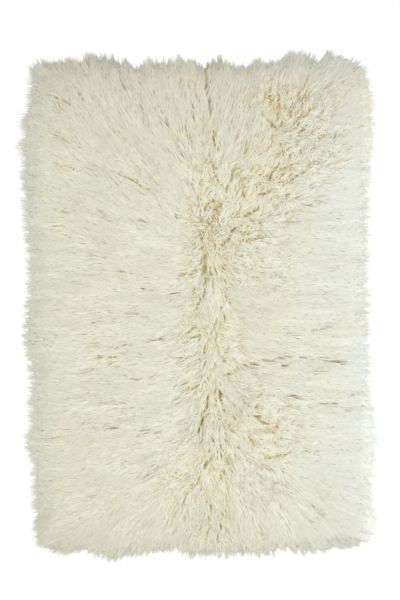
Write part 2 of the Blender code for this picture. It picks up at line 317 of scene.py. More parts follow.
# The felted bed: how far in from its rim it has its full height, and, as shares, how high it is at
# the rim and how bare it lies in ruffled pile.
BED_ROLL = 40 * MM
BED_RIM = 0.5
BARE_SHARE = 0.6
CLEARANCE = 0.1 * MM  # between the bed and the ground cloth

# How many faces the two layers have across the rug and along it, and from what angle on their edges
# are sharp.
BED_FACES = (84, 120)
CLOTH_FACES = (21, 30)
SHARP_EDGE = math.radians(45)

# Each lock has a cell of its own on the map for baking.
CELL_MARGIN = 0.08  # as a share of the cell
ROOT_SLIVER = 0.06  # how much of the cell's height its root takes
FIBRE_SHIFT = 0.37  # how far its fibres are shifted from the next lock's


class PileSettings(bpy.types.PropertyGroup):
    """The long pile."""

    combed_spacing: bpy.props.FloatProperty(
        name="Combed Spacing", description="Distance between the roots of neighbouring combed locks",
        default=8.6 * MM, min=5 * MM, max=30 * MM, unit="LENGTH")
    curly_spacing: bpy.props.FloatProperty(
        name="Curly Spacing", description="Distance between the roots of neighbouring curly locks",
        default=7.6 * MM, min=5 * MM, max=30 * MM, unit="LENGTH")
    fill_spacing: bpy.props.FloatProperty(
        name="Fill Spacing", description="Distance between the roots of the short locks under curly ones",
        default=10.4 * MM, min=5 * MM, max=30 * MM, unit="LENGTH")
    wisp_spacing: bpy.props.FloatProperty(
        name="Wisp Spacing", description="Distance between the roots of the fine wisps at the rim",
        default=4.6 * MM, min=4 * MM, max=30 * MM, unit="LENGTH")
    lock_reach: bpy.props.FloatProperty(
        name="Lock Reach", description="How far a combed lock lies from its root to its tip",
        default=80 * MM, min=20 * MM, max=150 * MM, unit="LENGTH")
    lock_width: bpy.props.FloatProperty(
        name="Lock Width", description="Width of a combed lock at its thickest place",
        default=8.8 * MM, min=1 * MM, max=15 * MM, unit="LENGTH")
    tuft_spacing: bpy.props.FloatProperty(
        name="Tuft Spacing", description="Distance between the tufts that locks gather into",
        default=27 * MM, min=10 * MM, max=80 * MM, unit="LENGTH")
    clump_spacing: bpy.props.FloatProperty(
        name="Clump Spacing", description="Distance between the clumps of the ruffled pile",
        default=62 * MM, min=20 * MM, max=150 * MM, unit="LENGTH")
    tip_colour: bpy.props.FloatVectorProperty(
        name="Tip Colour", description="Colour of the wool that lies on top",
        default=(0.671, 0.664, 0.569, 1.0), min=0, max=1, size=4, subtype="COLOR")
    root_colour: bpy.props.FloatVectorProperty(
        name="Root Colour", description="Colour of the wool down by the ground cloth",
        default=(0.745, 0.605, 0.255, 1.0), min=0, max=1, size=4, subtype="COLOR")
    seed: bpy.props.IntProperty(
        name="Seed", description="Another number draws other locks", default=11, min=0)


class ClothSettings(bpy.types.PropertyGroup):
    """The woven ground cloth."""

    width: bpy.props.FloatProperty(
        name="Width", description="Width of the ground cloth", default=1.40, unit="LENGTH")
    length: bpy.props.FloatProperty(
        name="Length", description="Length of the ground cloth", default=2.00, unit="LENGTH")
    thickness: bpy.props.FloatProperty(
        name="Thickness", description="Thickness of the ground cloth", default=3 * MM, unit="LENGTH")
    yarn_pitch: bpy.props.FloatProperty(
        name="Yarn Pitch", description="Distance between neighbouring yarns of the weave",
        default=6 * MM, unit="LENGTH")
    colour: bpy.props.FloatVectorProperty(
        name="Colour", description="Colour of the ground cloth's yarn",
        default=(0.80, 0.72, 0.54, 1.0), min=0, max=1, size=4, subtype="COLOR")


class StageSettings(bpy.types.PropertyGroup):
    """The floor, the lights and the camera."""

    floor_size: bpy.props.FloatProperty(
        name="Floor Size", description="Side of the square floor", default=30.0, unit="LENGTH")
    floor_colour: bpy.props.FloatVectorProperty(
        name="Floor Colour", description="Colour of the floor",
        default=(0.97, 0.97, 0.97, 1.0), min=0, max=1, size=4, subtype="COLOR")
    lens: bpy.props.FloatProperty(
        name="Lens", description="Focal length of the camera in millimetres", default=70.0, min=20)
    ceiling_power: bpy.props.FloatProperty(
        name="Ceiling Light", description="Power of the large softbox overhead, in watts",
        default=246.0, min=0)
    key_power: bpy.props.FloatProperty(
        name="Key Light", description="Power of the softbox at the side, in watts",
        default=75.0, min=0)
    sky_strength: bpy.props.FloatProperty(
        name="Sky", description="Strength of the even light from all round", default=0.40, min=0)


class Field:
    """Values at the crossings of a grid, read between them in straight lines."""

    def __init__(self, across, along, values):
        self.across, self.along, self.values = across, along, values

    def __call__(self, place):
        column = np.interp(place.real, self.across, np.arange(len(self.across)))
        row = np.interp(place.imag, self.along, np.arange(len(self.along)))
        j = np.minimum(column.astype(int), len(self.across) - 2)
        i = np.minimum(row.astype(int), len(self.along) - 2)
        u, v = column - j, row - i
        low = self.values[i, j] * (1 - u) + self.values[i, j + 1] * u
        high = self.values[i + 1, j] * (1 - u) + self.values[i + 1, j + 1] * u
        return low * (1 - v) + high * v


def comb_field():
    """The way that the tips point, as numbers of length one."""
    rows = np.array(COMB, float)
    return Field(np.array(COMB_PLACES) * MM, rows[:, 0] * MM, np.exp(1j * np.radians(rows[:, 1:])))


def box_grid(step):
    """Stations across and along the whole rug, one step apart, and some way past it."""
    low, high = CAD_BOX
    across = np.arange(low.x - step, high.x + 2 * step, step)
    return across, np.arange(low.y - step, high.y + 2 * step, step)


def softened(values):
    """Each value averaged with its neighbours."""
    padded = np.pad(values, 1, mode="edge")
    across = (padded[:, :-2] + 2 * padded[:, 1:-1] + padded[:, 2:]) / 4
    return (across[:-2] + 2 * across[1:-1] + across[2:]) / 4


def uneven_field(chance, step):
    """Smooth random hills and hollows over the whole rug, from about -1 to 1."""
    across, along = box_grid(step)
    return Field(across, along, softened(chance.standard_normal((len(along), len(across)))))


def height_field(step=16 * MM):
    """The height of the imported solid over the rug, with the gaps between its rim locks evened out."""
    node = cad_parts["shag_rug"]
    solid = BVHTree.FromPolygons([v.co for v in node.data.vertices],
                                 [p.vertices for p in node.data.polygons])
    across, along = box_grid(step)
    heights = np.zeros((len(along), len(across)))
    for i, y in enumerate(along):
        for j, x in enumerate(across):
            hit = solid.ray_cast(Vector((x, y, 1.0)), Vector((0, 0, -1)))[0]
            heights[i, j] = hit.z if hit else 0.0
    return Field(across, along, softened(heights))


def tips_at(table, station):
    """How far out the tips end along one side."""
    rows = np.array(table, float) * MM
    return np.interp(station, rows[:, 0], rows[:, 1])


def from_edges(place):
    """How far a place is inside the tips of the nearer long side, and inside those of the nearer end."""
    x, y = place.real, place.imag
    from_side = np.minimum(x + tips_at(LEFT_TIPS, y), tips_at(RIGHT_TIPS, y) - x)
    from_end = np.minimum(y + tips_at(FOOT_TIPS, x), tips_at(HEAD_TIPS, x) - y)
    return from_side, from_end


def inset(place):
    """How far a place is inside the outline of the tips. Outside it is negative."""
    from_side, from_end = from_edges(place)
    past_side = np.maximum(TIP_CORNER_RADIUS - from_side, 0)
    past_end = np.maximum(TIP_CORNER_RADIUS - from_end, 0)
    in_corner = TIP_CORNER_RADIUS - np.hypot(past_side, past_end)
    return np.where((past_side > 0) & (past_end > 0), in_corner, np.minimum(from_side, from_end))


def at_end(place):
    """How far a place belongs to the rug's ends and not to its long sides, from 0 to 1."""
    from_side, from_end = from_edges(place)
    return (0.5 + (from_side - from_end) / END_BLEND).clip(0, 1)


def on_cloth(across, along, cloth, margin=0.0):
    """Places on the ground cloth, for shares across and along it. Its edges follow the tips, and
    its corners are round."""
    edge, radius = OVERHANG + margin, CLOTH_CORNER_RADIUS
    x, y = (across - 0.5) * cloth.width, (along - 0.5) * cloth.length
    left, right = edge - tips_at(LEFT_TIPS, y), tips_at(RIGHT_TIPS, y) - edge
    foot, head = edge - tips_at(FOOT_TIPS, x), tips_at(HEAD_TIPS, x) - edge
    x, y = left + across * (right - left), foot + along * (head - foot)
    # The square at each corner is drawn in to a quarter of a disc.
    u = np.maximum(radius - np.minimum(x - left, right - x), 0) / radius
    v = np.maximum(radius - np.minimum(y - foot, head - y), 0) / radius
    x = x + np.sign(x) * radius * u * (np.sqrt(1 - v * v / 2) - 1)
    y = y + np.sign(y) * radius * v * (np.sqrt(1 - u * u / 2) - 1)
    return x + 1j * y


def ruffle(place):
    """How ruffled the pile is at a place, from 0 to 1, or below 0 where it lies sleek."""
    most = least = np.zeros(np.shape(place))
    for across, station, half_width, half_length, strength in RUFFLED:
        away = (((place.real / MM - across) / half_width) ** 2
                + ((place.imag / MM - station) / half_length) ** 2)
        here = strength * np.exp(-away * away)
        most, least = np.maximum(most, here), np.minimum(least, here)
    return most + (1 - most) * least


def small_partings():
    """Rows like those of the table, for the smaller partings."""
    chance, comb, rows = np.random.default_rng(PARTING_SEED), comb_field(), []
    for left, right, foot, head, groups, shortest, longest, widest in SMALL_PARTINGS:
        for across, station in chance.uniform((left, foot), (right, head), (groups, 2)):
            way = comb(np.array([across + 1j * station]) * MM)[0]
            for apart in chance.uniform(-GROUP_SPREAD, GROUP_SPREAD, (GROUP_SIZE, 2)):
                middle = across + 1j * station + complex(*apart) * way / abs(way)
                degrees = math.degrees(np.angle(way)) + chance.normal(0, GROUP_TURN)
                length, half_width = chance.uniform((shortest, NARROWEST_PARTING), (longest, widest))
                rows.append((middle.real, middle.imag, degrees, length, half_width))
    return tuple(rows)


@cache
def all_partings():
    """Each parting's middle, its way, half its length and half its width."""
    rows = np.array(small_partings() + PARTINGS)
    middles = (rows[:, 0] + 1j * rows[:, 1]) * MM
    return list(zip(middles, np.exp(1j * np.radians(rows[:, 2])), rows[:, 3] * MM / 2, rows[:, 4] * MM))


def parted(places):
    """Places, where those near a parting are moved off it to either side."""
    for middle, way, half_length, half_width in all_partings():
        off = (places - middle) * np.conj(way)
        inside = np.maximum(1 - (off.real / half_length) ** 2, 0)
        apart = unruly(PARTING_SHARE, ruffle(middle)) * half_width
        aside = np.copysign(np.hypot(off.imag, inside * apart), off.imag)
        places = places + 1j * (aside - off.imag) * way
    return places


def creased(places):
    """How near a place is to a parting, from 0 past its flanks to 1 in the middle of a wide one."""
    nearest = np.zeros(places.shape)
    for middle, way, half_length, half_width in all_partings():
        off = (places - middle) * np.conj(way)
        flank = PARTING_FLANK * unruly(PARTING_SHARE, ruffle(middle)) * half_width
        bend = PARTING_BEND * np.sin(off.real / PARTING_WAVE + middle.real / MM)
        past = np.maximum(np.abs(off.real) - half_length, 0)
        away = np.hypot((off.imag - bend) / flank, past / (PARTING_END * flank))
        depth = min(half_width / WIDE_PARTING, 1.0)
        nearest = np.maximum(nearest, depth * (1 - away * away))
    return nearest


def between(pair, share):
    """What lies between a pair of values, at a share of the way from the first to the second."""
    return pair[0] + (pair[1] - pair[0]) * share


def unruly(pair, ruffled):
    """What holds at a place, from what holds in combed and in ruffled pile: the least in sleek pile."""
    return np.maximum(between(pair, ruffled), 0)


def eased(share):
    """From 0 to 1, slowly at both ends."""
    return share * share * (3 - 2 * share)


def shares_in_no_rows(chance, width, length, spacing, looseness=0.42, stagger=0.25):
    """Shares across and along a rectangle, about one spacing apart. Each is shifted at random, and
    each row is staggered against the next, so that no rows show."""
    columns, rows = round(width / spacing), round(length / spacing)
    i, j = np.mgrid[0:rows, 0:columns]
    shift = chance.uniform(-looseness, looseness, (2, rows, columns))
    across = (j + 0.5 + shift[0] + stagger * (-1.0) ** i) / columns
    along = (i + 0.5 + shift[1]) / rows
    return across.clip(0, 1).ravel(), along.clip(0, 1).ravel()


def nearest_few(centres, places, few):
    """The numbers of the few centres that lie nearest to each place, the nearest first."""
    tree = kdtree.KDTree(len(centres))
    for number, centre in enumerate(centres):
        tree.insert((centre.real, centre.imag, 0), number)
    tree.balance()
    return np.array([[found[1] for found in tree.find_n((p.real, p.imag, 0), few)] for p in places])


def run_of(path):
    """How far a path runs past each of its places, from the place before to the place after."""
    run = np.empty_like(path)
    run[:, 1:-1] = path[:, 2:] - path[:, :-2]
    run[:, 0], run[:, -1] = path[:, 1] - path[:, 0], path[:, -1] - path[:, -2]
    return run


def ways_of(path):
    """The way that a path runs at each of its places, as numbers of length one."""
    run = run_of(path)
    return run / np.maximum(np.abs(run), TINY)


def drawn_to(path, leader, share):
    """The path, drawn towards its leader's: all of the gap across it, and a third of it along."""
    way = ways_of(path)
    gap = (leader - path) * np.conj(way)
    return path + share * (gap.real / 3 + 1j * gap.imag) * way


class Lay:
    """How the pile lies: the comb, the height, and the ways that its tufts and clumps take."""

    def __init__(self, chance, pile, cloth):
        self.pile, self.cloth = pile, cloth
        self.comb, self.heights = comb_field(), height_field()
        self.swirl = uneven_field(chance, SWIRL_SIZE)
        self.tufts = self.centres(chance, pile.tuft_spacing)
        self.clumps = self.centres(chance, pile.clump_spacing)
        self.clump_of = nearest_few(self.clumps, self.tufts, 1)[:, 0]
        self.tuft_way, self.tuft_curl, self.tuft_lift = chance.standard_normal((3, len(self.tufts)))
        self.tuft_reach, self.tuft_phase = chance.uniform(-1, 1, (2, len(self.tufts)))
        self.clump_way, self.clump_lift = chance.standard_normal((2, len(self.clumps)))
        self.grain = uneven_field(np.random.default_rng(GRAIN_SEED), GRAIN_SIZE)

    def centres(self, chance, spacing):
        """The middles of tufts or clumps, over the whole cloth."""
        across, along = shares_in_no_rows(chance, self.cloth.width, self.cloth.length, spacing)
        return on_cloth(across, along, self.cloth)

    def tuft_of(self, roots):
        """The tuft of each root, and how far the root is from the tuft's middle line. A combed tuft
        is narrow and long."""
        near = nearest_few(self.tufts, roots, NEARBY_TUFTS)
        gap = (self.tufts[near] - roots[:, None]) * np.conj(self.comb(roots))[:, None]
        stretch = unruly(TUFT_STRETCH, ruffle(roots))[:, None]
        chosen = np.hypot(gap.imag, gap.real * stretch).argmin(axis=1)
        number = np.arange(len(roots))
        return near[number, chosen], np.abs(gap.imag[number, chosen])

    def walked(self, start, turn, reach, steps):
        """The places that locks pass, a column for each step, at angles of turn off the comb."""
        places = [start]
        for k in range(len(steps) - 1):
            way = self.comb(places[-1])
            way = way / np.abs(way) * np.exp(1j * turn[:, k])
            places.append(places[-1] + way * reach * (steps[k + 1] - steps[k]))
        return np.stack(places, axis=1)

    def streaks(self, places):
        """Uneven values, about -1 to 1, that stay alike for some way along the comb."""
        still = np.zeros((len(places), STREAK_STEPS))
        steps = np.linspace(0, 1, STREAK_STEPS)
        passed = [self.walked(places, still, reach, steps) for reach in (STREAK_REACH, -STREAK_REACH)]
        values = self.grain(np.hstack(passed)).mean(axis=1)
        return values / values.std()

    def turned(self, places, way, curl, clump, steps):
        """The angles off the comb of locks that share a tuft's way and curl and a clump's way."""
        ruffled = ruffle(places)
        turn = unruly(TUFT_TURN, ruffled) * way + unruly(CLUMP_TURN, ruffled) * self.clump_way[clump]
        turn += unruly(SWIRL_TURN, ruffled) * self.swirl(places)
        return turn[:, None] + (unruly(TUFT_CURL, ruffled) * curl)[:, None] * steps

    def leaders(self, steps):
        """The paths down the middle of each tuft and of each clump."""
        turn = self.turned(self.tufts, self.tuft_way, self.tuft_curl, self.clump_of, steps)
        reach = self.pile.lock_reach * unruly(REACH_SHARE, ruffle(self.tufts))
        tuft_paths = self.walked(self.tufts, turn, reach, steps)
        still, own = np.zeros(len(self.clumps)), np.arange(len(self.clumps))
        turn = self.turned(self.clumps, still, still, own, steps)
        reach = self.pile.lock_reach * unruly(REACH_SHARE, ruffle(self.clumps))
        return tuft_paths, self.walked(self.clumps, turn, reach, steps)


class Locks:
    """A number of locks: where they run, and how thick and how bright each is."""

    def __init__(self, lay, chance, roots, rings, width=1.0, reach=1.0, turn=(0.0, 0.0), cream=1.0,
                 ends=(LOCK_INSET, LOCK_SLACK)):
        self.lay, self.roots, self.rings = lay, roots, rings
        self.steps = np.array([place for place, _ in rings] + [1.0])
        self.ruffled, self.end = ruffle(roots), at_end(roots)
        self.at_rim = ((OVERHANG + RIM_BAND - inset(roots)) / RIM_BAND).clip(0, 1)
        self.uneven = between((self.ruffled, 1.0), between(RIM_RUFFLE, self.end) * self.at_rim)
        self.upright = 1 - np.abs(lay.comb(roots))
        self.streaks = lay.streaks(roots)
        self.tuft, self.aside = lay.tuft_of(roots)
        self.clump = lay.clump_of[self.tuft]

        self.path = self.paths(chance, self.turns(chance, turn), reach, ends)
        self.crease = creased(self.path)
        self.height = self.heights(chance)
        self.cream = self.creams(cream)
        # A strand of three sides is as wide as its radius times the square root of three.
        thickest = lay.pile.lock_width * unruly(WIDTH_SHARE, self.ruffled) * width
        self.radius = thickest / math.sqrt(3) * chance.uniform(*WIDTH_SPREAD, len(roots))
        self.flatness = unruly(FLATNESS, self.uneven)
        self.lean = unruly(LEAN, self.uneven) * chance.standard_normal(len(roots))
        self.shade = self.shades(chance)
        self.roll = chance.uniform(0, 2 * math.pi, len(roots))

    def turns(self, chance, turn):
        """The angles off the comb: the tuft's, the lock's own, and the waves of both."""
        lay, count = self.lay, len(self.roots)
        own_turn = unruly(LOCK_TURN, self.ruffled) + UPRIGHT_TURN * self.upright + between(turn, self.end)
        way, curl = lay.tuft_way[self.tuft], lay.tuft_curl[self.tuft]
        turns = lay.turned(self.roots, way, curl, self.clump, self.steps)
        turns += (own_turn * chance.standard_normal(count))[:, None]
        own_phase = chance.uniform(-1, 1, count)
        for wave, phase in ((TUFT_WAVE, lay.tuft_phase[self.tuft]), (LOCK_WAVE, own_phase)):
            passed = 2 * WAVES * self.steps + phase[:, None]
            turns += unruly(wave, self.ruffled)[:, None] * np.sin(math.pi * passed)
        return turns

    def paths(self, chance, turns, reach, ends):
        """The paths, drawn towards those of their tufts and clumps, and parted. A lock that would
        pass the outline of the tips is shortened to end near it."""
        lay, roots, ruffled, end = self.lay, self.roots, self.ruffled, self.end
        tuft_paths, clump_paths = lay.leaders(self.steps)
        gather = unruly(TUFT_GATHER, ruffled) + between(RIM_GATHER, end) * self.at_rim
        gathers = gather[:, None] * eased(self.steps)
        clump_gathers = unruly(CLUMP_GATHER, ruffled)[:, None] * eased(self.steps)

        def laid(reach):
            path = drawn_to(lay.walked(roots, turns, reach, self.steps), tuft_paths[self.tuft], gathers)
            return parted(drawn_to(path, clump_paths[self.clump], clump_gathers))

        reach = reach * lay.pile.lock_reach * chance.uniform(*REACH_SPREAD, len(roots))
        reach *= unruly(REACH_SHARE, ruffled)
        reach *= between((1.0, UPRIGHT_REACH), self.upright)
        least, slack = ends
        stop = between(least, end) + between(slack, end) * chance.uniform(0, 1, len(roots))
        stop -= between(RIM_SPREAD, end) * lay.tuft_reach[self.tuft]
        off_middle = self.aside / (TUFT_SIDE * lay.pile.tuft_spacing)
        stop += between(RIM_POINT, end) * off_middle.clip(0, FAR_ASIDE)
        path = laid(reach)
        for _ in range(SHORTENINGS):
            first, last = inset(roots), inset(path[:, -1])
            share = (first - stop) / np.maximum(first - last, LEAST_RUN)
            reach = np.where(last < stop, reach * np.clip(share, SHORTEST_REACH, 1.0), reach)
            path = laid(reach)
        return path

    def heights(self, chance):
        """The height of each path at each of its places."""
        lay, steps, count = self.lay, self.steps, len(self.roots)
        layer = LAYER + unruly(TUFT_LAYER, self.uneven) * lay.tuft_lift[self.tuft]
        layer += unruly(STREAK_LAYER, self.uneven) * self.streaks
        layer += unruly(LOCK_LAYER, self.uneven) * chance.standard_normal(count)
        layer += unruly(CLUMP_LIFT, self.ruffled) * lay.clump_lift[self.clump]
        thickness = lay.cloth.thickness
        pile_height = np.maximum(lay.heights(self.path) - thickness, 0) * (1 - PARTING_DEPTH * self.crease)
        rise = 1 - (1 - steps) ** RISE_POWER
        height = ROOT_HEIGHT * thickness + rise * layer.clip(*LAYER_LIMITS)[:, None] * pile_height
        lift = unruly(TIP_LIFT, self.ruffled) * chance.standard_normal(count)
        height += lift[:, None] * steps ** LIFT_POWER
        lowest = np.where(inset(self.path) > OVERHANG, OVER_CLOTH * thickness, OVER_FLOOR)
        lowest[:, 0] = ROOT_HEIGHT * thickness
        return np.maximum(height, lowest)

    def creams(self, cream):
        """How far the wool has turned from tan to cream along each lock, from 0 to 1."""
        open_pile = between((self.ruffled[:, None], 1.0), self.crease)
        begin, full = unruly(TAN_FROM, open_pile), unruly(TAN_TO, open_pile)
        ripe = eased(((self.steps - begin) / (full - begin)).clip(0, 1)) * cream
        creams = 1 - unruly(TAN_DEPTH, open_pile) * (1 - ripe)
        # In a parting the locks are painted tan besides: partly the deep wool's own tan, partly painted
        # shade.
        return creams * (1 - unruly(PARTING_TAN, self.ruffled)[:, None] * self.crease)

    def shades(self, chance):
        """How much lighter, or darker where it is below 0, each lock is along its length: its own tone,
        with painted light on ruffled pile and painted shade at the rim and in the partings.
        """
        lay, ruffled, count = self.lay, self.ruffled, len(self.roots)
        # Ruffled pile is painted lighter: painted light on its steep tips.
        shade = chance.standard_normal(count) * LOCK_SHADE + ruffled
        shade += unruly(STREAK_SHADE, ruffled) * self.streaks
        dark = TUFT_DARK * (lay.tuft_phase[self.tuft] + 1) + LOCK_DARK * chance.uniform(0, 1, count)
        # Painted shade between the tufts at the rim.
        shade -= between(RIM_SHADE, self.end) * self.at_rim * dark ** 2
        # Painted shade in the creases of the partings.
        painted_parting_shade = unruly(PARTING_SHADE, ruffled)[:, None] * self.crease ** 2
        return shade.clip(*SHADE_LIMITS)[:, None] - painted_parting_shade

    def some(self, chosen):
        """The locks that are chosen, as a set of their own."""
        few = copy.copy(self)
        for name in ("path", "height", "cream", "radius", "flatness", "lean", "shade", "roll"):
            setattr(few, name, getattr(self, name)[chosen])
        return few

    def corners(self):
        """The corners of each lock, in order: its rings, and its tip."""
        path = np.stack([self.path.real, self.path.imag, self.height], axis=2)
        run = run_of(path)
        run /= np.linalg.norm(run, axis=2, keepdims=True)
        way = 1j * ways_of(self.path)
        side = np.stack([way.real, way.imag, np.zeros(way.shape)], axis=2)
        rise = np.cross(run, side)
        lean = self.lean[:, None, None]
        side, rise = np.cos(lean) * side + np.sin(lean) * rise, np.cos(lean) * rise - np.sin(lean) * side
        count = len(self.rings)
        places, tapers = np.array(self.rings).T
        turned = (self.roll[:, None, None] + TWIST * places[None, :, None]
                  + 2 * math.pi * np.arange(SIDES) / SIDES)
        thin = self.flatness[:, None, None] * np.sin(turned)
        outwards = (np.cos(turned)[..., None] * side[:, :count, None, :]
                    + thin[..., None] * rise[:, :count, None, :])
        thick = (self.radius[:, None] * tapers)[:, :, None, None]
        rings = path[:, :count, None, :] + thick * outwards
        rings[..., 2] = np.maximum(rings[..., 2], LOWEST)
        return np.concatenate([rings.reshape(len(path), count * SIDES, 3), path[:, -1:, :]], axis=1)

    def at_corners(self, values):
        """Values along the paths, as one list for the corners of all the locks."""
        return np.hstack([np.repeat(values[:, :-1], SIDES, axis=1), values[:, -1:]]).ravel()

    def faces(self):
        """One lock's faces as lists of its corners: sides, tip and root."""
        last = (len(self.rings) - 1) * SIDES
        faces = []
        for low in range(0, last, SIDES):
            for k in range(SIDES):
                a, b = low + k, low + (k + 1) % SIDES
                faces.append([a, b, b + SIDES, a + SIDES])
        for k in range(SIDES):
            faces.append([last + k, last + (k + 1) % SIDES, last + SIDES])
        faces.append([2, 1, 0])
        return faces

    def spots(self):
        """One lock's faces laid out in a unit square, its sides side by side, corner by corner."""
        stops = [place for place, _ in self.rings] + [1.0]
        spots = []
        for low, high in zip(stops[:-2], stops[1:-1]):
            for k in range(SIDES):
                left, right = k / SIDES, (k + 1) / SIDES
                spots += [(left, low), (right, low), (right, high), (left, high)]
        for k in range(SIDES):
            left, right = k / SIDES, (k + 1) / SIDES
            spots += [(left, stops[-2]), (right, stops[-2]), ((left + right) / 2, 1.0)]
        root = [(0.0, 0.0), (0.5, ROOT_SLIVER), (1.0, 0.0)]
        return np.array(spots + root)


def mesh_of(name, places, loops, sizes):
    """A smooth mesh from its corners, the corners that its faces have one after another, and how
    many each face has."""
    mesh = bpy.data.meshes.new(name)
    mesh.vertices.add(len(places))
    mesh.vertices.foreach_set("co", places.astype(np.float32).ravel())
    mesh.loops.add(len(loops))
    mesh.loops.foreach_set("vertex_index", loops.astype(np.int32))
    mesh.polygons.add(len(sizes))
    starts = np.concatenate([[0], np.cumsum(sizes)[:-1]])
    mesh.polygons.foreach_set("loop_start", starts.astype(np.int32))
    mesh.polygons.foreach_set("use_smooth", np.ones(len(sizes), bool))
    mesh.update(calc_edges=True)
    return mesh


def mark_points(mesh, label, values):
    """Gives each point of a mesh a value that its material reads."""
    layer = mesh.attributes.new(label, "FLOAT", "POINT")
    layer.data.foreach_set("value", values.astype(np.float32))


def mark_sides(mesh, along):
    """Makes the edges sharp that run along the locks, where their sides meet."""
    ends = np.empty(2 * len(mesh.edges), np.int32)
    mesh.edges.foreach_get("vertices", ends)
    lengthwise = along[ends[::2]] != along[ends[1::2]]
    mesh.attributes.new("sharp_edge", "BOOLEAN", "EDGE").data.foreach_set("value", lengthwise)


def joined(name, sets):
    """All the locks of some sets as one mesh of closed strands."""
    places, loops, sizes, along, cream, shade, cells, fibres = ([] for _ in range(8))
    columns = math.ceil(math.sqrt(sum(len(locks.path) for locks in sets)))
    vertices = first = 0
    for locks in sets:
        corners, faces, spots, count = locks.corners(), locks.faces(), locks.spots(), len(locks.path)
        each = corners.shape[1]
        number = np.arange(count)
        places.append(corners.reshape(-1, 3))
        loops.append(vertices + (np.concatenate(faces) + each * number[:, None]).ravel())
        sizes += [len(f) for f in faces] * count
        along.append(np.tile(np.append(np.repeat([p for p, _ in locks.rings], SIDES), 1.0), count))
        cream.append(locks.at_corners(locks.cream))
        shade.append(locks.at_corners(locks.shade))
        cell = np.stack([(number + first) % columns, (number + first) // columns], axis=1)
        on_map = cell[:, None] + CELL_MARGIN + (1 - 2 * CELL_MARGIN) * spots
        cells.append((on_map / columns).reshape(-1, 2))
        fibres.append((spots + FIBRE_SHIFT * number[:, None, None]).reshape(-1, 2))
        vertices, first = vertices + count * each, first + count

    mesh = mesh_of(name, np.concatenate(places), np.concatenate(loops), sizes)
    mark_sides(mesh, np.concatenate(along))
    mark_points(mesh, "cream", np.concatenate(cream))
    mark_points(mesh, "shade", np.concatenate(shade))
    for label, spots in (("OFBake", cells), ("Fibres", fibres)):
        layer = mesh.uv_layers.new(name=label, do_init=False)
        layer.uv.foreach_set("vector", np.concatenate(spots).astype(np.float32).ravel())
    mesh.uv_layers.active = mesh.uv_layers["OFBake"]
    return mesh


def layer_mesh(name, faces_each_way, cloth, margin, bottom, top):
    """A closed layer over the cloth, with a flat underside. top gives its height at each place."""
    columns, rows = faces_each_way
    across, along = np.meshgrid(np.linspace(0, 1, columns + 1), np.linspace(0, 1, rows + 1))
    places = on_cloth(across.ravel(), along.ravel(), cloth, margin)
    row, last = columns + 1, len(places) - 1
    corner = np.arange(len(places)).reshape(rows + 1, row)[:-1, :-1].ravel()
    faces = np.stack([corner, corner + 1, corner + row + 1, corner + row], axis=1).tolist()
    brink = np.concatenate([np.arange(columns), np.arange(columns, last, row),
                            np.arange(last, last - columns, -1), np.arange(last - columns, 0, -row)])
    under = len(places) + np.arange(len(brink))
    faces.append(under[::-1].tolist())
    faces += np.stack([under, np.roll(under, -1), np.roll(brink, -1), brink], axis=1).tolist()
    everywhere = np.concatenate([places, places[brink]])
    heights = np.concatenate([top(places), np.full(len(brink), bottom)])
    mesh = bpy.data.meshes.new(name)
    mesh.from_pydata(np.stack([everywhere.real, everywhere.imag, heights], axis=1), [], faces)
    mesh.shade_smooth()
    mesh.set_sharp_from_angle(angle=SHARP_EDGE)
    return mesh


